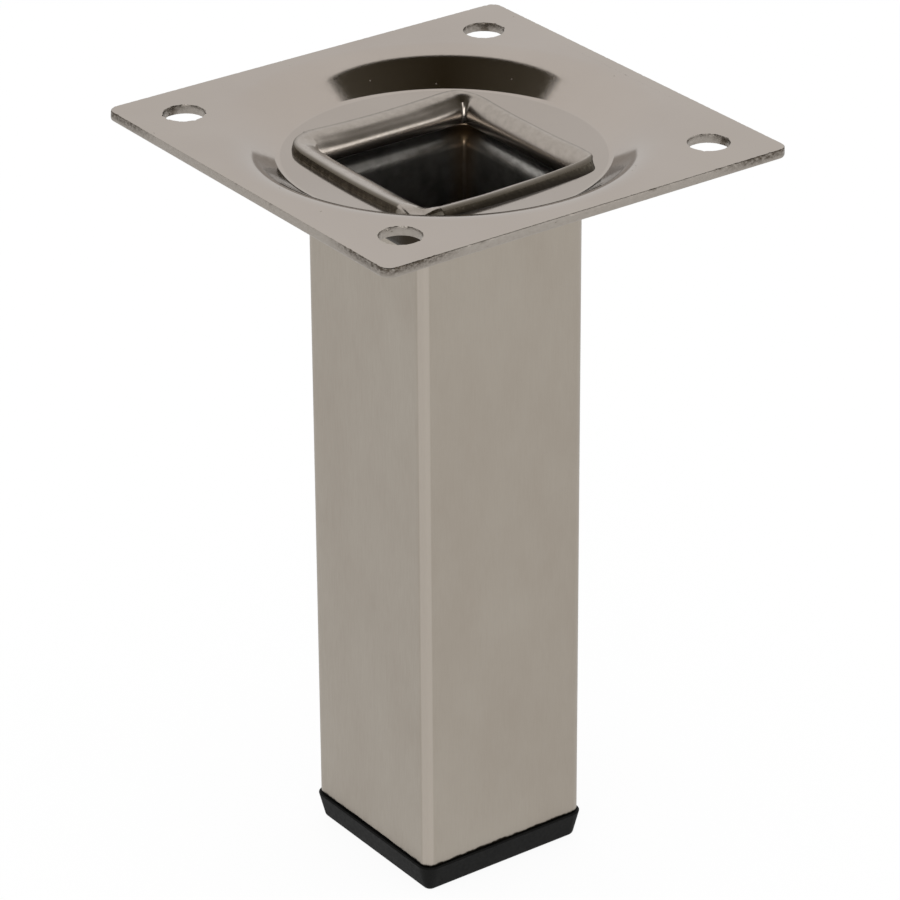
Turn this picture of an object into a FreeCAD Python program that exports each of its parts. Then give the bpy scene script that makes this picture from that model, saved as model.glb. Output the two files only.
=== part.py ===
import FreeCAD, Part

import math
import os

from FreeCAD import Rotation, Vector

# Square metal furniture leg, in millimetres.
# A square tube passes through a square hole in the dish of a pressed plate. A bead folded out below the
# plate and a lip folded out above it clamp the sheet. A plastic cap with a ribbed plug closes the foot.
# The origin is on the floor under the middle of the leg, and +Z points up.

# Whole leg
leg_height = 100.0

# Square tube, rolled from strip
tube_width = 25.0
tube_wall = 1.0
tube_inside_radius = 0.5
tube_end_chamfer = 0.25

# Bead and lip that clamp the plate
bead_reach = 2.3
bead_gap = 1.2
bead_chamfer = 0.6
groove_chamfer = 0.9
lip_reach = 2.3
lip_chamfer = 0.2
throat_radius = 2.0

# Plate and its pressed dish
plate_thickness = 1.2
plate_corner_radius = 1.5
plate_land = 1.8676
dish_depth = 4.0
dish_margin = 0.4
dish_wall_angle = 34.0
dish_rim_radius = 8.0
dish_floor_chamfer = 0.3
under_rim_steps = 4
hole_clearance = 0.1
screw_hole_diameter = 5.2
screw_edge_distance = 7.0

# Foot cap and its plug
cap_height = 3.9
cap_overhang = 0.4
cap_draft_angle = 14.0
cap_top_chamfer = 0.2
cap_bottom_radius = 0.8
sole_thickness = 2.0
plug_clearance = 0.1
plug_wall = 1.5
plug_corner_cut = 2.0
plug_lead = 2.2
plug_chamfer = 0.6
rib_count = 3
rib_pitch = 3.6
rib_depth = 1.2
rib_thickness = 0.9

# Tube, from the foot up to the lip
tube_half = tube_width / 2
bore_half = tube_half - tube_wall
tube_corner_centre = bore_half - tube_inside_radius
tube_corner_radius = tube_inside_radius + tube_wall
dish_floor = leg_height - dish_depth
dish_underside = dish_floor - plate_thickness
bead_half = tube_half + bead_reach
bead_underside = dish_underside - bead_gap - 2 * tube_wall
groove_half = bead_half - tube_wall
groove_top = dish_underside - tube_wall
groove_bottom = bead_underside + tube_wall
lip_half = tube_half + lip_reach
lip_top = dish_floor + tube_wall

# Plate, from the lip's corners out to the edge
wall_angle = math.radians(dish_wall_angle)
lip_corner_reach = tube_corner_centre * math.sqrt(2) + tube_corner_radius + lip_reach
dish_floor_edge = lip_corner_reach + dish_margin
dish_wall_edge = dish_floor_edge + dish_depth / math.tan(wall_angle)
dish_rim_edge = dish_wall_edge + dish_rim_radius * math.tan(wall_angle / 2)
sheet_mitre = plate_thickness * math.tan(wall_angle / 2)
plate_half = dish_rim_edge + plate_land
sheet_radius = plate_half * math.sqrt(2)
hole_half = tube_half + hole_clearance
screw_offset = plate_half - screw_edge_distance

# Cap, from the flange in to the hollow
cap_half = tube_half + cap_overhang
cap_corner_radius = tube_corner_radius + cap_overhang
cap_draft = cap_height * math.tan(math.radians(cap_draft_angle))
rib_half = bore_half - plug_clearance
plug_half = rib_half - rib_depth
hollow_half = plug_half - plug_wall
plug_top = cap_height + rib_count * rib_pitch + plug_lead

AXIS = Vector(0, 0, 1)
SAME_PLACE = 1e-4


def section(corners):
    """Face in the XZ plane from its corners, each a distance from the axis and a height."""
    points = [Vector(reach, 0, height) for reach, height in corners]
    return Part.Face(Part.makePolygon(points + points[:1]))


def sweep_square(face, corner_centre):
    """Ring of a section that runs along four sides and turns about four corner centres."""
    side = face.translated(Vector(0, -corner_centre, 0)).extrude(Vector(0, 2 * corner_centre, 0))
    bend = face.translated(Vector(0, corner_centre, 0))
    corner = bend.revolve(Vector(corner_centre, corner_centre, 0), AXIS, 90)
    pieces = []
    for quarter in range(4):
        for piece in (side, corner):
            pieces.append(piece.rotated(Vector(), AXIS, 90 * quarter))
    return pieces[0].multiFuse(pieces[1:]).removeSplitter()


def quarter_turns(points):
    """The same points on each of the four sides, as one list per side."""
    turns = [Rotation(AXIS, 90 * quarter) for quarter in range(4)]
    return [[turn.multVec(point) for point in points] for turn in turns]


def rounded_square(half_width, corner_radius, height):
    """Wire of a square with round corners, centred on the axis."""
    flat = half_width - corner_radius
    middle = flat + corner_radius * math.sqrt(0.5)
    side = [
        Vector(half_width, -flat, height),
        Vector(half_width, flat, height),
        Vector(middle, middle, height),
        Vector(flat, half_width, height),
    ]
    edges = []
    for start, end, bend, after in quarter_turns(side):
        edges.append(Part.LineSegment(start, end).toShape())
        edges.append(Part.Arc(end, bend, after).toShape())
    return Part.Wire(edges)


def cut_square(half_width, height):
    """Wire of a square with the plug's cut corners, centred on the axis."""
    flat = half_width - plug_corner_cut
    side = [Vector(half_width, -flat, height), Vector(half_width, flat, height)]
    points = sum(quarter_turns(side), [])
    return Part.makePolygon(points + points[:1])


def block(wire, bottom, top):
    """Upright block over an outline drawn at its bottom."""
    return Part.Face(wire).extrude(AXIS * (top - bottom))


def square_loop(shape, half_width, height):
    """Edges that run round the axis at a height, with their sides at a half width."""

    def on_loop(vertex):
        reach = max(abs(vertex.X), abs(vertex.Y))
        return abs(reach - half_width) < SAME_PLACE and abs(vertex.Z - height) < SAME_PLACE

    return [edge for edge in shape.Edges if all(on_loop(vertex) for vertex in edge.Vertexes)]


def make_leg_tube():
    """Square tube whose wall is folded out into a bead, in through the plate and out into a lip."""
    wall = section(
        [
            (tube_half, cap_height),
            (tube_half, bead_underside),
            (bead_half, bead_underside),
            (bead_half, dish_underside),
            (tube_half, dish_underside),
            (tube_half, dish_floor),
            (lip_half, dish_floor),
            (lip_half, lip_top),
            (bore_half, lip_top),
            (bore_half, groove_top),
            (groove_half, groove_top),
            (groove_half, groove_bottom),
            (bore_half, groove_bottom),
            (bore_half, cap_height),
        ]
    )
    tube = sweep_square(wall, tube_corner_centre)
    tube = tube.makeFillet(throat_radius, square_loop(tube, bore_half, lip_top))
    tube = tube.makeChamfer(bead_chamfer, square_loop(tube, bead_half, bead_underside))
    tube = tube.makeChamfer(groove_chamfer, square_loop(tube, bore_half, groove_bottom))
    tube = tube.makeChamfer(lip_chamfer, square_loop(tube, lip_half, lip_top))
    return tube.makeChamfer(tube_end_chamfer, square_loop(tube, tube_half, cap_height))


def under_rim():
    """Points on the underside, round the bend from the flat sheet into the dish wall."""
    radius = dish_rim_radius - plate_thickness
    points = []
    for step in range(under_rim_steps + 1):
        turn = wall_angle * step / under_rim_steps
        reach = dish_rim_edge - radius * math.sin(turn)
        height = leg_height - dish_rim_radius + radius * math.cos(turn)
        points.append((reach, height))
    return points


def pressed_sheet():
    """Disc of sheet with the dish pressed into it, as wide as the plate's corners."""
    top = [
        (0, dish_floor),
        (dish_floor_edge, dish_floor),
        (dish_wall_edge, leg_height),
        (sheet_radius, leg_height),
    ]
    rim = [(sheet_radius, leg_height - plate_thickness)] + under_rim()
    floor = [(dish_floor_edge + sheet_mitre, dish_underside), (0, dish_underside)]
    sheet = section(top + rim + floor).revolve(Vector(), AXIS, 360)
    sheet = sheet.makeFillet(dish_rim_radius, square_loop(sheet, dish_wall_edge, leg_height))
    return sheet.makeChamfer(dish_floor_chamfer, square_loop(sheet, dish_floor_edge, dish_floor))


def make_mounting_plate():
    """Pressed plate with its square hole and four screw holes."""
    plate = pressed_sheet().common(block(rounded_square(plate_half, plate_corner_radius, 0), 0, leg_height))
    hole_radius = tube_corner_radius + hole_clearance
    plate = plate.cut(block(rounded_square(hole_half, hole_radius, 0), 0, leg_height))
    for x in (-screw_offset, screw_offset):
        for y in (-screw_offset, screw_offset):
            plate = plate.cut(Part.makeCylinder(screw_hole_diameter / 2, leg_height, Vector(x, y, 0)))
    return plate


def cap_flange():
    """Drafted block that shows below the tube, with its bottom edge rounded."""
    foot = rounded_square(cap_half - cap_draft, cap_corner_radius - cap_draft, 0)
    ledge = rounded_square(cap_half, cap_corner_radius, cap_height)
    flange = Part.makeLoft([foot, ledge], True, True)
    flange = flange.makeChamfer(cap_top_chamfer, square_loop(flange, cap_half, cap_height))
    return flange.makeFillet(cap_bottom_radius, square_loop(flange, cap_half - cap_draft, 0))


def plug_core():
    """Square core of the plug, chamfered at the top to lead into the tube."""
    core = block(cut_square(plug_half, cap_height), cap_height, plug_top)
    return core.makeChamfer(plug_chamfer, square_loop(core, plug_half, plug_top))


def plug_rib(bottom):
    """Thin rib round the plug that grips the tube."""
    return block(cut_square(rib_half, bottom), bottom, bottom + rib_thickness)


def make_foot_cap():
    """Flange and hollow ribbed plug, moulded as one piece."""
    ribs = [plug_rib(cap_height + rib_pitch * (number + 0.5)) for number in range(rib_count)]
    cap = cap_flange().multiFuse([plug_core()] + ribs)
    hollow = block(cut_square(hollow_half, sole_thickness), sole_thickness, plug_top)
    return cap.cut(hollow).removeSplitter()


def main():
    os.makedirs("parts", exist_ok=True)
    pieces = {
        "mounting_plate": make_mounting_plate(),
        "leg_tube": make_leg_tube(),
        "foot_cap": make_foot_cap(),
    }
    for name, shape in pieces.items():
        shape.Solids[0].exportStep(f"parts/{name}.step")


main()
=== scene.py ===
import math

import bmesh
import bpy
from mathutils import Matrix, Vector, geometry, noise


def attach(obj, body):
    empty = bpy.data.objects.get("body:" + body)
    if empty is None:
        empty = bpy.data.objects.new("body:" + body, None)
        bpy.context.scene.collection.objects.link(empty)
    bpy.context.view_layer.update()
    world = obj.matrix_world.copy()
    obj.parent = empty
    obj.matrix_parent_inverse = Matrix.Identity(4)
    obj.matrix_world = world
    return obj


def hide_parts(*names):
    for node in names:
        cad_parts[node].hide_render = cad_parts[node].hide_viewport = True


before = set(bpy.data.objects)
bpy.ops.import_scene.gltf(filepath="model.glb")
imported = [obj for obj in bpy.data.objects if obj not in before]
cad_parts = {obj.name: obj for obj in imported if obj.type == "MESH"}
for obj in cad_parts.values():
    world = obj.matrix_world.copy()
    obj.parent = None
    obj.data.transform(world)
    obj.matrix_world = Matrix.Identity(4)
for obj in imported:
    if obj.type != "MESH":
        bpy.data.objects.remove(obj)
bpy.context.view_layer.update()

# Square metal furniture leg. Lengths are in millimetres unless a comment says otherwise.
MM = 0.001

# Tube, bead and lip
TUBE_HALF = 12.5
BORE_HALF = 11.5
CORNER_CENTRE = 11.0
TUBE_END = 3.9
BEAD_HALF = 14.8
BEAD_UNDERSIDE = 91.6
GROOVE_HALF = 13.8
GROOVE_BOTTOM = 92.6
GROOVE_TOP = 93.8
LIP_HALF = 14.8
LIP_TOP = 97.0
LIP_EDGE_RADIUS = 0.35
# Width of the band of painted shade along the lip's outer edge
LIP_EDGE_SHADE = 0.55
LIP_CORNER_CENTRE = 9.8
LIP_CORNER_PULL = 0.0234
LIP_NARROWING = 1.0
LIP_STRETCH = 0.013
LIP_SLANT = 1.4
LIP_FOOT = 0.6
LIP_CORNER_DROP = 0.65
LIP_DROP_RATE = 1.5
LIP_NEAR_SLANT = 0.35
THROAT_RADIUS = 2.6
THROAT_LEAN = 0.85

# Painted highlights at the lip's near corner, by shares of the way out and round, and where the painted
# sheen starts on the tube's near edge
CORNER_OUTSIDE = 0.9
CORNER_SHINE = 0.3
CORNER_SHINE_WIDTH = 0.2
NEAR_EDGE_SHEEN_START = 11.36

# Uneven cut end of the tube
END_BOW = 0.3
END_LIFT = 0.15
END_ROUGH = 0.12
END_GRAIN = 1.3
END_OCTAVES = 3
END_ZONE = 1.0

# Finishes of the tube, with the sawn finish also used as painted shade on the bead under the plate, and
# the rusty spot inside it
SATIN, BRIGHT, BARE, SAWN_AND_SHADED, WORN = range(5)
RUST_SPOT = Vector((-12.2, 12.2, 92.0))
RUST_REACH = 4.0

# Plate and dish
PLATE_TOP = 100.0
PLATE_HALF = 30.0
PLATE_CORNER_RADIUS = 1.5
SHEET = 1.2
DISH_FLOOR = 96.0
DISH_WALL_ANGLE = math.radians(34.0)
DISH_RIM_RADIUS = 8.0
DISH_RIM_EDGE = 28.132
FLOOR_BEND_RADIUS = 1.2
FLOOR_FLAT = 14.0
FLOOR_SLOPE = math.radians(5.0)
# Share of painted shade on the floor of the dish
FLOOR_SHADE = 0.3
HOLE_HALF = 12.6
HOLE_CORNER_RADIUS = 1.6
SCREW_OFFSET = 23.0
SCREW_RADIUS = 2.6

# Cut edges of the plate: how far in from the outline, how far below the top, how rough
OUTLINE_ROWS = (
    (0.10, 0.0, 0.08),
    (0.03, 0.08, 0.06),
    (0.01, 0.25, 0.03),
    (0.0, 0.5, 0.01),
    (0.0, 0.9, 0.01),
    (0.03, 1.1, 0.01),
    (0.10, 1.2, 0.01),
)
SCREW_ROWS = (
    (0.06, 0.0, 0.2),
    (0.02, 0.08, 0.14),
    (0.0, 0.25, 0.05),
    (0.0, 0.6, 0.03),
    (0.03, 0.8, 0.10),
    (0.06, 1.05, 0.12),
    (0.08, 1.2, 0.10),
)
EDGE_GRAIN = 1.7
EDGE_OCTAVES = 4
BURR_ROUGH = 0.1
NOISE_FALLOFF = 0.8
NOISE_STEP = 2.0

# Torn upper edge of the plate: burrs at its corners, and small chips along its sides
CORNER_BURR_REACH = 12.0
CORNER_BURR_DEPTH = 1.2
CHIP_GRAIN = 0.4
CHIP_START = 0.3
CHIP_GAIN = 4.0
CHIP_DEPTH = 0.35

# Steps of the curved meshes
PLATE_SIDE_STEPS = 240
PLATE_CORNER_STEPS = 16
TUBE_SIDE_STEPS = 48
TUBE_CORNER_STEPS = 14
DISH_STEPS = 576
BEND_STEPS = 28
FLOOR_BEND_STEPS = 12
SMALL_BEND_STEPS = 6
FLOOR_STEPS = 24
SCREW_STEPS = 96
SUPPORT = 0.12
SHARP_ANGLE = math.radians(26.0)

# Camera fitted to the photograph: a 900 pixel wide image
IMAGE_PIXELS = 900.0
FOCAL_PIXELS = 4507.524
CAMERA_AZIMUTH = math.radians(54.125)
CAMERA_ELEVATION = math.radians(27.439)
CAMERA_ROLL = math.radians(-0.373)
CAMERA_DISTANCE = 575.163
CAMERA_AIM = 50.0
CENTRE_OFFSET_X = -3.448
CENTRE_OFFSET_Y = 39.785
SENSOR_WIDTH = 36.0

# Dark panel that shows in reflections, in metres: its height, and one half of its outline
# as distances toward the camera and to the side
FLAG_HEIGHT = 1.0
FLAG_OUTLINE = (
    (-0.38, 0.12),
    (-0.33, 0.38),
    (-0.25, 0.53),
    (0.0, 0.75),
    (0.25, 1.4),
    (1.4, 3.9),
    (4.5, 5.0),
)
FLAG_MIDDLE = (0.03, 0.024, 0.014, 1)
FLAG_SIDES = (0.085, 0.077, 0.06, 1)
FLAG_SPAN = 0.5

# Thinner panels above it that soften its edge: how many, how much higher and wider each is, how dense
VEILS = 6
VEIL_LIFT = 0.02
VEIL_SPREAD = 0.05
VEIL_DENSITY = 0.3

# Lamps, in metres and watts: what they face, then place toward the camera, across and up, size, power
LAMP_AIM = (0, 0, 0.06)
KEY_LAMP = (1.0, -0.1, 0.36), (0.6, 0.3), 2.2
SIDE_LAMP = (0.39, 0.92, 0.27), (0.5, 0.32), 0.9

# White surround, with its floor in metres
WORLD_LIGHT = 1.1
FLOOR_GLOW = 0.93
FLOOR_REACH = 6.0
FLOOR_LEVEL = -0.05 * MM


class Skin:
    """Points, faces and finish numbers of one piece."""

    def __init__(self):
        self.points = []
        self.wear_and_painted_light = []
        self.faces = []
        self.finishes = []

    def loop(self, points, wear_and_painted_light=None):
        """Adds a closed loop of points with a value at each for its tears, rust and painted light and
        shade, and gives their numbers.
        """
        first = len(self.points)
        self.points.extend(points)
        self.wear_and_painted_light.extend(wear_and_painted_light or [0.0] * len(points))
        return list(range(first, len(self.points)))

    def bridge(self, near, far, finish):
        """Quads between two closed loops of as many points."""
        count = len(near)
        for here in range(count):
            after = (here + 1) % count
            self.faces.append((near[here], near[after], far[after], far[here]))
            self.finishes.append(finish)

    def bridge_all(self, loops, finish):
        """Quads along a row of loops."""
        for near, far in zip(loops, loops[1:]):
            self.bridge(near, far, finish)

    def fill(self, loops, finish):
        """Flat triangles inside the first loop and outside the others."""
        outlines = [[self.points[number] for number in loop] for loop in loops]
        numbers = sum(loops, [])
        for corners in geometry.tessellate_polygon(outlines):
            self.faces.append([numbers[corner] for corner in corners])
            self.finishes.append(finish)

    def build(self, name, materials):
        """Object with the skin as its mesh, in metres."""
        mesh = bpy.data.meshes.new(name)
        mesh.from_pydata([point * MM for point in self.points], [], self.faces)
        for material in materials:
            mesh.materials.append(material)
        mesh.polygons.foreach_set("material_index", self.finishes)
        mesh.attributes.new("wear_and_painted_light", "FLOAT", "POINT").data.foreach_set("value", self.wear_and_painted_light)
        shape = bmesh.new()
        shape.from_mesh(mesh)
        bmesh.ops.recalc_face_normals(shape, faces=shape.faces)
        shape.to_mesh(mesh)
        shape.free()
        mesh.shade_smooth()
        mesh.set_sharp_from_angle(angle=SHARP_ANGLE)
        piece = bpy.data.objects.new(name, mesh)
        bpy.context.scene.collection.objects.link(piece)
        return piece


def square_rim(half, radius, side_steps, corner_steps):
    """Points round a square with round corners, each with its outward direction."""
    flat = half - radius
    rim = []
    for quarter in range(4):
        turn = Matrix.Rotation(math.radians(90 * quarter), 3, "Z")
        for step in range(side_steps):
            along = flat * (2 * step / side_steps - 1)
            rim.append((turn @ Vector((half, along, 0)), turn @ Vector((1, 0, 0))))
        for step in range(corner_steps):
            angle = math.radians(90) * step / corner_steps
            outward = Vector((math.cos(angle), math.sin(angle), 0))
            centre = Vector((flat, flat, 0))
            rim.append((turn @ (centre + outward * radius), turn @ outward))
    return rim


def circle_rim(centre, radius, steps):
    """Points round a circle, each with its outward direction."""
    rim = []
    for step in range(steps):
        angle = math.tau * step / steps
        outward = Vector((math.cos(angle), math.sin(angle), 0))
        rim.append((centre + outward * radius, outward))
    return rim


def roughness(place, octaves):
    """Depth of rough noise at a place, none where the noise is negative."""
    return max(0.0, noise.fractal(place, NOISE_FALLOFF, NOISE_STEP, octaves))


def burr(point, drop):
    """How torn a cut edge is at a place, from none to one."""
    corner = Vector((PLATE_HALF, PLATE_HALF))
    distance = (Vector((abs(point.x), abs(point.y))) - corner).length
    ragged = min(1.0, 2 - 2 * distance / CORNER_BURR_REACH) * (1 - drop / CORNER_BURR_DEPTH)
    loose = CHIP_GAIN * (noise.noise(point * CHIP_GRAIN) - CHIP_START)
    chip = min(1.0, loose) * (1 - drop / CHIP_DEPTH)
    if drop < CHIP_DEPTH:
        return max(0.0, ragged, chip)
    if drop < CORNER_BURR_DEPTH:
        return max(0.0, ragged)
    return 0.0


def cut_edge(skin, rim, top, rows, into, finish):
    """Wall of a cut edge, from the top face down. Gives its first and last loop."""
    loops = []
    for inset, drop, rough in rows:
        height = Vector((0, 0, top - drop))
        points = []
        wear_and_painted_light = []
        for point, outward in rim:
            torn = burr(point, drop)
            bite = (rough + BURR_ROUGH * torn) * roughness((point + height) * EDGE_GRAIN, EDGE_OCTAVES)
            points.append(point + outward * (into * (inset + bite)) + height)
            wear_and_painted_light.append(-torn)
        loops.append(skin.loop(points, wear_and_painted_light))
    skin.bridge_all(loops, finish)
    return loops[0], loops[-1]


def revolved(skin, profile, finish):
    """Rings of a profile about the axis. Gives the first and last ring."""
    loops = []
    for reach, height in profile:
        rim = circle_rim(Vector((0, 0, height)), reach, DISH_STEPS)
        loops.append(skin.loop([point for point, outward in rim]))
    skin.bridge_all(loops, finish)
    return loops[0], loops[-1]


def bend(centre, radius, start, end, steps):
    """Points of an arc in a section, by its angles from the outward direction."""
    points = []
    for step in range(steps + 1):
        angle = start + (end - start) * step / steps
        points.append((centre[0] + radius * math.cos(angle), centre[1] + radius * math.sin(angle)))
    return points


def floor_rise(reach):
    """How far the slightly conical floor of the dish stands above its flat middle."""
    return max(0.0, reach - FLOOR_FLAT) * math.tan(FLOOR_SLOPE)


def floor_bend_centre():
    """Centre of the bend that joins the floor of the dish to its wall."""
    rim_start = DISH_RIM_EDGE - DISH_RIM_RADIUS * math.sin(DISH_WALL_ANGLE)
    rim_height = PLATE_TOP - DISH_RIM_RADIUS * (1 - math.cos(DISH_WALL_ANGLE))
    wall_rise = math.tan(DISH_WALL_ANGLE)
    floor_rise_rate = math.tan(FLOOR_SLOPE)
    wall_base = rim_height - rim_start * wall_rise + FLOOR_BEND_RADIUS / math.cos(DISH_WALL_ANGLE)
    floor_base = DISH_FLOOR - FLOOR_FLAT * floor_rise_rate + FLOOR_BEND_RADIUS / math.cos(FLOOR_SLOPE)
    reach = (floor_base - wall_base) / (wall_rise - floor_rise_rate)
    return reach, floor_base + reach * floor_rise_rate


def dish_profile(offset):
    """Dish from the flat land in to the floor, at a distance below the top face of the sheet."""
    upright = math.radians(90)
    rim_centre = (DISH_RIM_EDGE, PLATE_TOP - DISH_RIM_RADIUS)
    rim = bend(rim_centre, DISH_RIM_RADIUS - offset, upright, upright + DISH_WALL_ANGLE, BEND_STEPS)
    floor_radius = FLOOR_BEND_RADIUS + offset
    steep = DISH_WALL_ANGLE - upright
    shallow = FLOOR_SLOPE - upright
    floor = bend(floor_bend_centre(), floor_radius, steep, shallow, FLOOR_BEND_STEPS)
    land = (DISH_RIM_EDGE + SUPPORT, PLATE_TOP - offset)
    return [land] + rim + floor


def hole_reach(angle):
    """Distance from the axis to the edge of the square hole, in a direction."""
    short, long = sorted((abs(math.cos(angle)), abs(math.sin(angle))))
    flat = HOLE_HALF - HOLE_CORNER_RADIUS
    side = HOLE_HALF / long
    if side * short <= flat:
        return side
    along = flat * (long + short)
    return along + math.sqrt(along ** 2 - 2 * flat ** 2 + HOLE_CORNER_RADIUS ** 2)


def dish_floor(skin, ring, offset, finish):
    """Floor from a ring in to the square hole, at a distance below the top face. Gives the last loop."""
    loops = [ring]
    for step in range(1, FLOOR_STEPS + 1):
        points = []
        for number in ring:
            start = skin.points[number]
            angle = math.atan2(start.y, start.x)
            outer = math.hypot(start.x, start.y)
            reach = outer + (hole_reach(angle) - outer) * step / FLOOR_STEPS
            height = DISH_FLOOR - offset + floor_rise(reach)
            points.append(Vector((reach * math.cos(angle), reach * math.sin(angle), height)))
        loops.append(skin.loop(points, [FLOOR_SHADE] * len(points)))
    skin.bridge_all(loops, finish)
    return loops[-1]


def make_plate(materials):
    """Pressed plate with its dish, square hole, screw holes and sheared edges."""
    face, edge, underside = range(3)
    skin = Skin()
    outline = square_rim(PLATE_HALF, PLATE_CORNER_RADIUS, PLATE_SIDE_STEPS, PLATE_CORNER_STEPS)
    top, bottom = cut_edge(skin, outline, PLATE_TOP, OUTLINE_ROWS, -1, edge)
    top_loops = [top]
    bottom_loops = [bottom]
    for x in (-SCREW_OFFSET, SCREW_OFFSET):
        for y in (-SCREW_OFFSET, SCREW_OFFSET):
            rim = circle_rim(Vector((x, y, 0)), SCREW_RADIUS, SCREW_STEPS)
            top, bottom = cut_edge(skin, rim, PLATE_TOP, SCREW_ROWS, 1, edge)
            top_loops.append(top)
            bottom_loops.append(bottom)
    hole_loops = []
    for loops, offset, finish in ((top_loops, 0.0, face), (bottom_loops, SHEET, underside)):
        land, floor = revolved(skin, dish_profile(offset), finish)
        skin.fill(loops + [land], finish)
        hole_loops.append(dish_floor(skin, floor, offset, finish))
    skin.bridge_all(hole_loops, edge)
    return skin.build("pressed_plate", materials)


def rounded_section(corners):
    """Closed section whose right-angled corners are rounded. Each point keeps its corner's finish."""
    points = []
    count = len(corners)
    for number, (reach, height, radius, finish) in enumerate(corners):
        here = Vector((reach, height))
        before = Vector(corners[number - 1][:2])
        after = Vector(corners[(number + 1) % count][:2])
        inward = (before - here).normalized() * radius
        onward = (after - here).normalized() * radius
        centre = here + inward + onward
        for step in range(SMALL_BEND_STEPS + 1):
            angle = math.radians(90) * step / SMALL_BEND_STEPS
            points.append((centre - onward * math.cos(angle) - inward * math.sin(angle), finish))
    return points


def end_rise(place):
    """How far the tube's cut end stands off the cap, at a place round the end."""
    left_side = max(0.0, -place.y - CORNER_CENTRE) / (TUBE_HALF - CORNER_CENTRE)
    bow = max(0.0, 1 - (place.x / TUBE_HALF) ** 2)
    right_side = max(0.0, place.x - CORNER_CENTRE) / (TUBE_HALF - CORNER_CENTRE)
    lift = max(0.0, place.y / TUBE_HALF) ** 2
    rough = roughness(place * END_GRAIN, END_OCTAVES)
    return END_BOW * left_side * bow + END_LIFT * right_side * lift + END_ROUGH * rough


def smooth(share):
    """Share that eases in and out between none and one."""
    share = min(1.0, max(0.0, share))
    return share * share * (3 - 2 * share)


def narrowed(reach):
    """Distance from the middle of a point on the side whose lip is narrower."""
    return reach - LIP_NARROWING * smooth((reach - BORE_HALF) / (LIP_HALF - BORE_HALF))


def near_corner(point):
    """How near a point is to the middle of the lip's near corner and how far out, from none to one."""
    short, long = sorted((point.x - CORNER_CENTRE, -point.y - CORNER_CENTRE))
    if short <= 0:
        return 0.0, 0.0
    return short / long, math.hypot(short, long) / (LIP_HALF - CORNER_CENTRE)


def lip_drop(point):
    """How far the near corner of the lip is bent down toward its outer edge."""
    turned, out = near_corner(point)
    return LIP_CORNER_DROP * smooth(LIP_DROP_RATE * turned) * smooth(2 * out - 1)


def throat_lean(reach):
    """How far the fold inside the lip leans, at a distance from the middle on a leaning side."""
    onto_side = smooth((reach - CORNER_CENTRE) / (BORE_HALF - CORNER_CENTRE))
    onto_lip = smooth((reach - BORE_HALF) / (LIP_HALF - BORE_HALF))
    return THROAT_LEAN * onto_side * (1 - onto_lip)


def throat_place(point):
    """Point of the fold inside the lip: tighter at -y, wider at +x."""
    share = smooth((point.z - GROOVE_TOP) / (DISH_FLOOR - GROOVE_TOP))
    return point + Vector((throat_lean(point.x), throat_lean(-point.y), 0)) * share


def lip_place(point):
    """Point of the uneven lip: narrower at +y, wider at -y, slanted at +x, bent down at one corner."""
    x_reach = max(0.0, abs(point.x) - LIP_CORNER_CENTRE)
    y_reach = max(0.0, abs(point.y) - LIP_CORNER_CENTRE)
    nearest = point.x > 0 > point.y
    pull = 0.0 if nearest else LIP_CORNER_PULL * x_reach * y_reach
    x = point.x - math.copysign(pull, point.x)
    y = point.y - math.copysign(pull, point.y)
    along = max(0.0, y + CORNER_CENTRE) / (2 * CORNER_CENTRE)
    outward = max(0.0, x - TUBE_HALF) / (LIP_HALF - TUBE_HALF)
    lift = max(0.0, point.z - DISH_FLOOR) / (LIP_TOP - DISH_FLOOR)
    x = x + (LIP_FOOT * (1 - lift) - LIP_SLANT * along * lift) * outward
    inside = abs(y) < TUBE_HALF + SUPPORT
    stretch = LIP_STRETCH * (lift if inside else 1.0)
    near_slant = LIP_NEAR_SLANT * lift * max(0.0, -y - TUBE_HALF) / (LIP_HALF - TUBE_HALF)
    y = narrowed(y) if y > 0 else y * (1 + stretch) + near_slant
    return Vector((x, y, point.z - lip_drop(point) * lift + floor_rise(math.hypot(x, y))))


def tube_rust_and_painted_light(place, reach, finish):
    """Rust share, painted shade, painted highlights and painted sheen at a point of the tube, which each
    finish shows its own way.
    """
    turned, out = near_corner(place)
    # Painted highlights on both sides of the lip's near corner, as values below zero
    if finish in (WORN, SAWN_AND_SHADED) and place.z > DISH_FLOOR - SUPPORT and out > CORNER_OUTSIDE:
        return -smooth(2 - abs(turned - CORNER_SHINE) / CORNER_SHINE_WIDTH)
    # Painted shade darkening the lip toward its outer edge
    if finish == WORN:
        return max(0.0, 1 - (LIP_HALF - reach) / LIP_EDGE_SHADE)
    if finish == BARE:
        return max(0.0, 1 - (place - RUST_SPOT).length / RUST_REACH)
    # Painted shade on the whole bead under the plate and on the lip's cut end at +x
    if finish == SAWN_AND_SHADED:
        return max(float(place.z < DISH_FLOOR - SUPPORT), (place.x - TUBE_HALF) / (LIP_HALF - TUBE_HALF))
    # Painted sheen: the tube's near corner is lighter than its faces
    return float(min(place.x, -place.y) > NEAR_EDGE_SHEEN_START)


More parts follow.
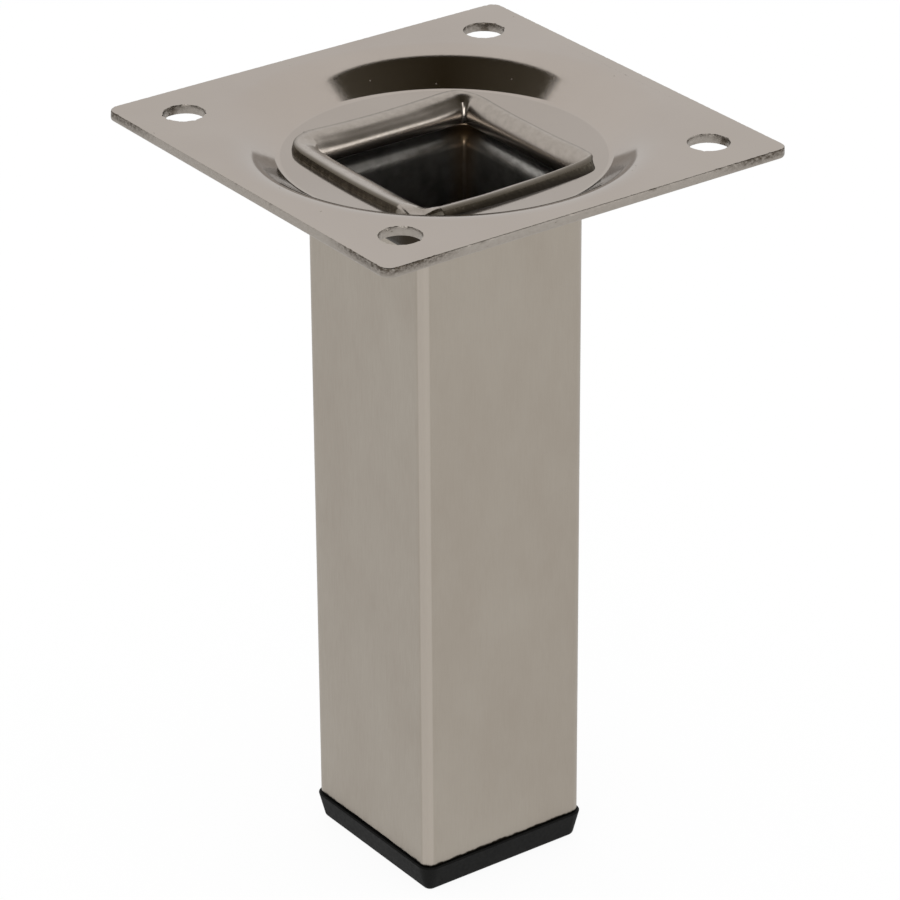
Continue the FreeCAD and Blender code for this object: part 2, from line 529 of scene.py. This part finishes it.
def make_tube(materials):
    """Square tube with its bead, clamped lip and slightly uneven cut end."""
    # Corners of the wall's section: distance from the middle, height, rounding and finish
    corners = (
        (TUBE_HALF, TUBE_END, 0.12, SATIN),
        (TUBE_HALF, BEAD_UNDERSIDE, 0.4, BRIGHT),
        # The bead takes the sawn finish, painted near black as shade under the plate
        (BEAD_HALF, BEAD_UNDERSIDE, 1.0, SAWN_AND_SHADED),
        (BEAD_HALF, DISH_FLOOR - SHEET, 0.5, SAWN_AND_SHADED),
        (TUBE_HALF, DISH_FLOOR - SHEET, 0.1, BRIGHT),
        (TUBE_HALF, DISH_FLOOR, 0.1, BRIGHT),
        (LIP_HALF, DISH_FLOOR, 0.03, SAWN_AND_SHADED),
        (LIP_HALF, LIP_TOP, LIP_EDGE_RADIUS, WORN),
        (BORE_HALF, LIP_TOP, THROAT_RADIUS, WORN),
        (BORE_HALF, GROOVE_TOP, 0.12, BARE),
        (GROOVE_HALF, GROOVE_TOP, 0.3, BARE),
        (GROOVE_HALF, GROOVE_BOTTOM, 0.3, BARE),
        (BORE_HALF, GROOVE_BOTTOM, 2.0, BARE),
        (BORE_HALF, TUBE_END, 0.12, BARE),
    )
    skin = Skin()
    section = rounded_section(corners)
    loops = []
    for (reach, height), finish in section:
        rim = square_rim(reach, reach - CORNER_CENTRE, TUBE_SIDE_STEPS, TUBE_CORNER_STEPS)
        points = []
        wear_and_painted_light = []
        for point, outward in rim:
            rise = end_rise(point) if height < TUBE_END + END_ZONE else 0.0
            place = point + Vector((0, 0, height + rise))
            wear_and_painted_light.append(tube_rust_and_painted_light(place, reach, finish))
            if finish == WORN:
                place = throat_place(place)
            points.append(lip_place(place) if height > DISH_FLOOR - SUPPORT else place)
        loops.append(skin.loop(points, wear_and_painted_light))
    for number, (place, finish) in enumerate(section):
        skin.bridge(loops[number], loops[(number + 1) % len(loops)], finish)
    return skin.build("clamped_tube", materials)


class Shading:
    """Material with one Principled shader and helpers to wire nodes to it."""

    def __init__(self, name, constants):
        self.material = bpy.data.materials.new(name)
        self.material.use_nodes = True
        self.tree = self.material.node_tree
        self.shader = self.tree.nodes["Principled BSDF"]
        for socket, value in constants.items():
            self.shader.inputs[socket].default_value = value
        self.place = self.tree.nodes.new("ShaderNodeTexCoord").outputs["Object"]

    def add(self, kind, **sockets):
        """New node with some of its sockets set to a value or linked to an output."""
        node = self.tree.nodes.new(kind)
        for name, value in sockets.items():
            socket = node.inputs[name.replace("_", " ")]
            if isinstance(value, bpy.types.NodeSocket):
                self.tree.links.new(value, socket)
            else:
                socket.default_value = value
        return node

    def noise(self, per_mm, detail=3.0, rough=0.5):
        """Noise with a number of cells to a millimetre, along each axis or along all."""
        scale = Vector(per_mm) if isinstance(per_mm, tuple) else Vector((per_mm,) * 3)
        mapping = self.add("ShaderNodeMapping", Vector=self.place, Scale=scale / MM)
        texture = self.add("ShaderNodeTexNoise", Vector=mapping.outputs["Vector"])
        texture.inputs["Scale"].default_value = 1.0
        texture.inputs["Detail"].default_value = detail
        texture.inputs["Roughness"].default_value = rough
        return texture.outputs["Fac"]

    def wear_and_painted_light(self):
        """Tears, rust and painted light and shade stored with the skin, from minus one to one. Each
        material shows it its own way.
        """
        node = self.add("ShaderNodeAttribute")
        node.attribute_name = "wear_and_painted_light"
        return node.outputs["Fac"]

    def combine(self, operation, first, second):
        """Sum, product or maximum of two values."""
        node = self.tree.nodes.new("ShaderNodeMath")
        node.operation = operation
        self.tree.links.new(first, node.inputs[0])
        self.tree.links.new(second, node.inputs[1])
        return node.outputs["Value"]

    def height(self):
        """Height above the floor, in metres."""
        return self.add("ShaderNodeSeparateXYZ", Vector=self.place).outputs["Z"]

    def specks(self, per_mm, size_mm):
        """One inside small round specks scattered over the skin, else zero."""
        mapping = self.add("ShaderNodeMapping", Vector=self.place, Scale=Vector((per_mm,) * 3) / MM)
        cells = self.add("ShaderNodeTexVoronoi", Vector=mapping.outputs["Vector"])
        cells.inputs["Scale"].default_value = 1.0
        return self.spread(cells.outputs["Distance"], 1.0, 0.0, size_mm * per_mm * 0.7, size_mm * per_mm)

    def blend(self, share, colour, other):
        """Mix of two colours by a share of the second."""
        node = self.tree.nodes.new("ShaderNodeMix")
        node.data_type = "RGBA"
        self.tree.links.new(share, node.inputs["Factor"])
        for socket, value in ((node.inputs[6], colour), (node.inputs[7], other)):
            if isinstance(value, bpy.types.NodeSocket):
                self.tree.links.new(value, socket)
            else:
                socket.default_value = (*value, 1.0)
        return node.outputs[2]

    def ramp(self, source, stops):
        """Colour ramp through stops of a place and a colour."""
        node = self.add("ShaderNodeValToRGB", Fac=source)
        elements = node.color_ramp.elements
        while len(elements) < len(stops):
            elements.new(0.5)
        for element, (place, colour) in zip(elements, stops):
            element.position = place
            element.color = (*colour, 1.0)
        return node.outputs["Color"]

    def spread(self, source, low, high, start=0.3, end=0.7):
        """Value that runs from low to high while the source runs from start to end."""
        node = self.add("ShaderNodeMapRange", Value=source)
        node.inputs["From Min"].default_value = start
        node.inputs["From Max"].default_value = end
        node.inputs["To Min"].default_value = low
        node.inputs["To Max"].default_value = high
        return node.outputs["Result"]

    def bump(self, source, depth_mm, under=None):
        """Bump of a height map, on top of another bump if there is one."""
        node = self.add("ShaderNodeBump", Height=source, Distance=depth_mm * MM)
        if under:
            self.tree.links.new(under, node.inputs["Normal"])
        return node.outputs["Normal"]

    def set(self, socket, source):
        """Links an output to a socket of the shader."""
        self.tree.links.new(source, self.shader.inputs[socket])


def bright_nickel():
    """Mirror-like nickel plating over pressed sheet, with faint waves and specks, and painted shade on
    the floor of the dish.
    """
    look = Shading("bright_nickel", {"Metallic": 1.0, "Specular Tint": (0.8, 0.8, 0.8, 1.0)})
    cloud = look.noise(0.05)
    tints = ((0.3, (0.408, 0.36, 0.319)), (0.7, (0.434, 0.387, 0.346)))
    # Painted shade on the dish floor, by the stored share
    look.set("Base Color", look.blend(look.wear_and_painted_light(), look.ramp(cloud, tints), (0.298, 0.264, 0.234)))
    haze = look.spread(look.noise(1.4), 0.07, 0.12)
    specks = look.spread(look.specks(0.3, 0.13), 0.0, 0.7, 0.0, 1.0)
    look.set("Roughness", look.combine("MAXIMUM", haze, specks))
    waves = look.bump(look.noise(0.12, detail=1.0), 0.008)
    look.set("Normal", look.bump(look.noise(3.0), 0.0003, waves))
    return look.material


def worn_nickel():
    """Plating stretched and worn where the tube is folded out into the lip, with painted shade darkening
    its outer edge.
    """
    look = Shading("worn_nickel", {"Metallic": 1.0})
    rub = look.noise(1.1, detail=4.0, rough=0.6)
    tints = ((0.3, (0.335, 0.298, 0.262)), (0.65, (0.375, 0.335, 0.297)))
    # Painted shade toward the lip's outer edge
    look.set("Base Color", look.blend(look.wear_and_painted_light(), look.ramp(rub, tints), (0.1, 0.085, 0.065)))
    look.set("Roughness", look.spread(rub, 0.26, 0.2))
    look.set("Normal", look.bump(rub, 0.003))
    return look.material


def sheared_steel():
    """Cut edge of the sheet: thinly plated, torn and dull."""
    look = Shading("sheared_steel", {"Metallic": 1.0})
    tears = look.noise((1.2, 1.2, 3.0), detail=5.0, rough=0.65)
    tints = ((0.24, (0.10, 0.082, 0.06)), (0.34, (0.315, 0.285, 0.252)), (0.7, (0.355, 0.322, 0.288)))
    ragged = look.spread(look.noise((1.6, 1.6, 2.6), detail=4.0, rough=0.7), 0.2, 1.7, 0.35, 0.65)
    burrs = look.combine("MULTIPLY", look.spread(look.wear_and_painted_light(), 1.0, 0.0, -1.0, 0.0), ragged)
    look.set("Base Color", look.blend(burrs, look.ramp(tears, tints), (0.08, 0.065, 0.05)))
    look.set("Roughness", look.spread(look.noise(2.5), 0.32, 0.45))
    look.set("Normal", look.bump(tears, 0.02))
    return look.material


def satin_nickel():
    """Finely brushed nickel plating on the outside of the tube, with a painted sheen on its near corner
    and painted shade along its cut end where it meets the cap.
    """
    look = Shading("satin_nickel", {"Metallic": 1.0})
    cloud = look.noise((0.12, 0.12, 0.07), detail=4.0)
    tints = ((0.3, (0.345, 0.305, 0.258)), (0.7, (0.372, 0.334, 0.286)))
    # Painted sheen on the tube's near corner
    plating = look.blend(look.wear_and_painted_light(), look.ramp(cloud, tints), (0.425, 0.38, 0.33))
    # Painted shade in the gap between the tube's end and the cap, with a ragged upper edge
    ragged = look.spread(look.noise(0.8, detail=5.0, rough=0.6), -0.15 * MM, 0.15 * MM)
    end_height = look.combine("ADD", look.height(), ragged)
    painted_gap_shade = look.spread(end_height, 1.0, 0.0, (TUBE_END + 0.25) * MM, (TUBE_END + 0.45) * MM)
    look.set("Base Color", look.blend(painted_gap_shade, plating, (0.012, 0.009, 0.006)))
    grain = look.noise((9.0, 9.0, 0.5), detail=2.0)
    look.set("Roughness", look.spread(grain, 0.36, 0.46))
    look.set("Normal", look.bump(grain, 0.002))
    return look.material


def bare_steel():
    """Unplated inside of the tube, dark with mill scale and a little rust."""
    look = Shading("bare_steel", {"Metallic": 0.95})
    stain = look.noise(0.35, detail=4.0)
    tints = ((0.35, (0.22, 0.212, 0.2)), (0.6, (0.32, 0.308, 0.29)))
    look.set("Base Color", look.blend(look.wear_and_painted_light(), look.ramp(stain, tints), (0.3, 0.19, 0.09)))
    look.set("Roughness", look.spread(look.noise(2.0), 0.3, 0.5))
    look.set("Normal", look.bump(look.noise(1.5), 0.01))
    return look.material


def sawn_and_shaded_steel():
    """Sawn end of the tube wall: dark, rough and unplated. The bead under the plate is painted near
    black as shade, the cut end on the +x side is painted darker toward the floor as shade, and the lip's
    cut end at its near corner gets painted highlights.
    """
    look = Shading("sawn_and_shaded_steel", {"Metallic": 1.0})
    marks = look.noise((2.5, 2.5, 1.2), detail=4.0, rough=0.6)
    tints = ((0.35, (0.1, 0.083, 0.06)), (0.6, (0.16, 0.136, 0.1)), (0.75, (0.34, 0.3, 0.25)))
    # Painted shade on the bead and the cut end, darker toward the floor
    low = look.spread(look.height(), 1.0, 0.45, (DISH_FLOOR + 0.45) * MM, (DISH_FLOOR + 0.95) * MM)
    painted_shade = look.combine("MULTIPLY", look.wear_and_painted_light(), low)
    marks_with_painted_shade = look.blend(painted_shade, look.ramp(marks, tints), (0.035, 0.028, 0.02))
    # Painted highlights at the lip's near corner, where the stored value is below zero
    painted_glint = look.spread(look.wear_and_painted_light(), 1.0, 0.0, -1.0, 0.0)
    look.set("Base Color", look.blend(painted_glint, marks_with_painted_shade, (0.6, 0.56, 0.5)))
    look.set("Roughness", look.spread(marks, 0.5, 0.35))
    look.set("Normal", look.bump(marks, 0.04))
    return look.material


def shaded_underside_nickel():
    """Plating on the underside of the plate, rougher than the face and painted darker as shade."""
    look = Shading("shaded_underside_nickel", {"Metallic": 1.0})
    cloud = look.noise(0.2, detail=4.0)
    # Painted darker than the face, as shade under the plate
    tints = ((0.3, (0.17, 0.15, 0.13)), (0.7, (0.22, 0.198, 0.175)))
    look.set("Base Color", look.ramp(cloud, tints))
    look.set("Roughness", look.spread(look.noise(1.4), 0.25, 0.38))
    look.set("Normal", look.bump(look.noise(3.0), 0.001))
    return look.material


def black_plastic():
    """Moulded black plastic with a fine texture and a low sheen."""
    look = Shading("black_plastic", {"Specular IOR Level": 0.09})
    cloud = look.noise(0.3)
    tints = ((0.3, (0.003, 0.003, 0.0027)), (0.7, (0.005, 0.0048, 0.0043)))
    look.set("Base Color", look.ramp(cloud, tints))
    look.set("Roughness", look.spread(look.noise(2.0), 0.55, 0.65))
    look.set("Normal", look.bump(look.noise(5.0), 0.004))
    return look.material


def seen_rays(tree):
    """One where a ray comes from the camera, a reflection or a clear surface, else zero."""
    path = tree.nodes.new("ShaderNodeLightPath")
    total = path.outputs["Is Camera Ray"]
    for name in ("Is Glossy Ray", "Is Transmission Ray"):
        either = tree.nodes.new("ShaderNodeMath")
        either.operation = "MAXIMUM"
        tree.links.new(total, either.inputs[0])
        tree.links.new(path.outputs[name], either.inputs[1])
        total = either.outputs["Value"]
    return total


def make_world():
    """White surround where it is seen, softer where it only lights the object."""
    world = bpy.data.worlds.new("studio")
    bpy.context.scene.world = world
    world.use_nodes = True
    tree = world.node_tree
    light = tree.nodes["Background"]
    light.inputs["Color"].default_value = (1, 1, 1, 1)
    light.inputs["Strength"].default_value = WORLD_LIGHT
    seen = tree.nodes.new("ShaderNodeBackground")
    seen.inputs["Color"].default_value = (1, 1, 1, 1)
    seen.inputs["Strength"].default_value = 1.0
    mix = tree.nodes.new("ShaderNodeMixShader")
    tree.links.new(seen_rays(tree), mix.inputs[0])
    tree.links.new(light.outputs[0], mix.inputs[1])
    tree.links.new(seen.outputs[0], mix.inputs[2])
    tree.links.new(mix.outputs[0], tree.nodes["World Output"].inputs["Surface"])


def stage_sheet(name, corners, material):
    """Flat sheet of the studio, in metres."""
    mesh = bpy.data.meshes.new(name)
    mesh.from_pydata(corners, [], [range(len(corners))])
    mesh.materials.append(material)
    sheet = bpy.data.objects.new(name, mesh)
    bpy.context.scene.collection.objects.link(sheet)
    return sheet


def make_floor():
    """Wide white floor that keeps a soft shadow."""
    material = bpy.data.materials.new("white_floor")
    material.use_nodes = True
    tree = material.node_tree
    shader = tree.nodes["Principled BSDF"]
    shader.inputs["Base Color"].default_value = (0.9, 0.9, 0.9, 1)
    shader.inputs["Roughness"].default_value = 1.0
    shader.inputs["Specular IOR Level"].default_value = 0.0
    glow = tree.nodes.new("ShaderNodeEmission")
    glow.inputs["Strength"].default_value = 1.0
    share = tree.nodes.new("ShaderNodeMath")
    share.operation = "MULTIPLY"
    share.inputs[1].default_value = FLOOR_GLOW
    tree.links.new(seen_rays(tree), share.inputs[0])
    mix = tree.nodes.new("ShaderNodeMixShader")
    tree.links.new(share.outputs["Value"], mix.inputs[0])
    tree.links.new(shader.outputs[0], mix.inputs[1])
    tree.links.new(glow.outputs[0], mix.inputs[2])
    tree.links.new(mix.outputs[0], tree.nodes["Material Output"].inputs["Surface"])
    corners = []
    for x, y in ((-1, -1), (1, -1), (1, 1), (-1, 1)):
        corners.append((x * FLOOR_REACH, y * FLOOR_REACH, FLOOR_LEVEL))
    stage_sheet("floor", corners, material)


def tint_across(tree, shader, across):
    """Colour of the flag, darkest in the middle and lighter to both sides."""
    place = tree.nodes.new("ShaderNodeTexCoord")
    aside = tree.nodes.new("ShaderNodeVectorMath")
    aside.operation = "DOT_PRODUCT"
    aside.inputs[1].default_value = across / FLAG_SPAN
    tree.links.new(place.outputs["Object"], aside.inputs[0])
    distance = tree.nodes.new("ShaderNodeMath")
    distance.operation = "ABSOLUTE"
    tree.links.new(aside.outputs["Value"], distance.inputs[0])
    ramp = tree.nodes.new("ShaderNodeValToRGB")
    ramp.color_ramp.elements[0].color = FLAG_MIDDLE
    ramp.color_ramp.elements[1].color = FLAG_SIDES
    tree.links.new(distance.outputs["Value"], ramp.inputs["Fac"])
    tree.links.new(ramp.outputs["Color"], shader.inputs["Base Color"])


def make_flag(name, lift, spread, density):
    """Dark panel over the object and behind the camera that only reflections see."""
    material = bpy.data.materials.new(name)
    material.use_nodes = True
    tree = material.node_tree
    shader = tree.nodes["Principled BSDF"]
    shader.inputs["Roughness"].default_value = 1.0
    shader.inputs["Specular IOR Level"].default_value = 0.0
    shader.inputs["Alpha"].default_value = density
    toward, across = level_axes()
    tint_across(tree, shader, across)
    corners = []
    for side, outline in ((1, FLAG_OUTLINE), (-1, reversed(FLAG_OUTLINE))):
        for along, aside in outline:
            level = (toward * along + across * (side * aside)) * spread
            corners.append(level + Vector((0, 0, FLAG_HEIGHT + lift)))
    flag = stage_sheet(name, corners, material)
    flag.visible_camera = False
    flag.visible_diffuse = False
    flag.visible_shadow = False
    flag.visible_transmission = False


def make_softbox(name, place, size, power):
    """Rectangular lamp that faces the object."""
    toward, across = level_axes()
    spot = toward * place[0] + across * place[1] + Vector((0, 0, place[2]))
    data = bpy.data.lights.new(name, "AREA")
    data.shape = "RECTANGLE"
    data.size, data.size_y = size
    data.energy = power
    lamp = bpy.data.objects.new(name, data)
    lamp.location = spot
    lamp.rotation_euler = (Vector(LAMP_AIM) - spot).to_track_quat("-Z", "Y").to_euler()
    bpy.context.scene.collection.objects.link(lamp)


def level_axes():
    """Level directions from the object toward the camera, and to the right across its view."""
    toward = Vector((math.sin(CAMERA_AZIMUTH), -math.cos(CAMERA_AZIMUTH), 0))
    across = Vector((math.cos(CAMERA_AZIMUTH), math.sin(CAMERA_AZIMUTH), 0))
    return toward, across


def camera_axes():
    """Directions to the right of the camera, up from it and back from the object to it."""
    toward, right = level_axes()
    back = toward * math.cos(CAMERA_ELEVATION) + Vector((0, 0, math.sin(CAMERA_ELEVATION)))
    up = back.cross(right)
    turn = Matrix.Rotation(CAMERA_ROLL, 3, back)
    return turn @ right, turn @ up, back


def make_camera():
    """Camera at the photograph's place, angle and framing."""
    right, up, back = camera_axes()
    data = bpy.data.cameras.new("camera")
    data.sensor_width = SENSOR_WIDTH
    data.lens = FOCAL_PIXELS * SENSOR_WIDTH / IMAGE_PIXELS
    data.shift_x = -CENTRE_OFFSET_X / IMAGE_PIXELS
    data.shift_y = CENTRE_OFFSET_Y / IMAGE_PIXELS
    data.clip_start = 0.01
    camera = bpy.data.objects.new("camera", data)
    axes = Matrix((right, up, back)).transposed().to_4x4()
    place = (Vector((0, 0, CAMERA_AIM)) + back * CAMERA_DISTANCE) * MM
    camera.matrix_world = Matrix.Translation(place) @ axes
    bpy.context.scene.collection.objects.link(camera)
    bpy.context.scene.camera = camera


def make_lights():
    """Soft light from the camera side and from the right, and a dark flag overhead with a soft edge."""
    make_softbox("key", *KEY_LAMP)
    make_softbox("side", *SIDE_LAMP)
    make_flag("flag", 0.0, 1.0, 1.0)
    for step in range(1, VEILS + 1):
        make_flag(f"veil_{step}", VEIL_LIFT * step, 1 + VEIL_SPREAD * step, VEIL_DENSITY)


def dress_frame():
    """Pieces and materials that stand for the CAD nodes."""
    bright = bright_nickel()
    plate = make_plate([bright, sheared_steel(), shaded_underside_nickel()])
    tube = make_tube([satin_nickel(), bright, bare_steel(), sawn_and_shaded_steel(), worn_nickel()])
    dressed = ((plate, "mounting_plate", "plate_metal"), (tube, "leg_tube", "tube_metal"))
    for piece, node, slot in dressed:
        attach(piece, "root")
        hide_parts(node)
    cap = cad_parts["foot_cap"]
    plastic = black_plastic()
    for place in cap.material_slots:
        place.material = plastic


bpy.context.scene.view_settings.view_transform = "Standard"
make_world()
make_floor()
make_lights()
make_camera()
dress_frame()
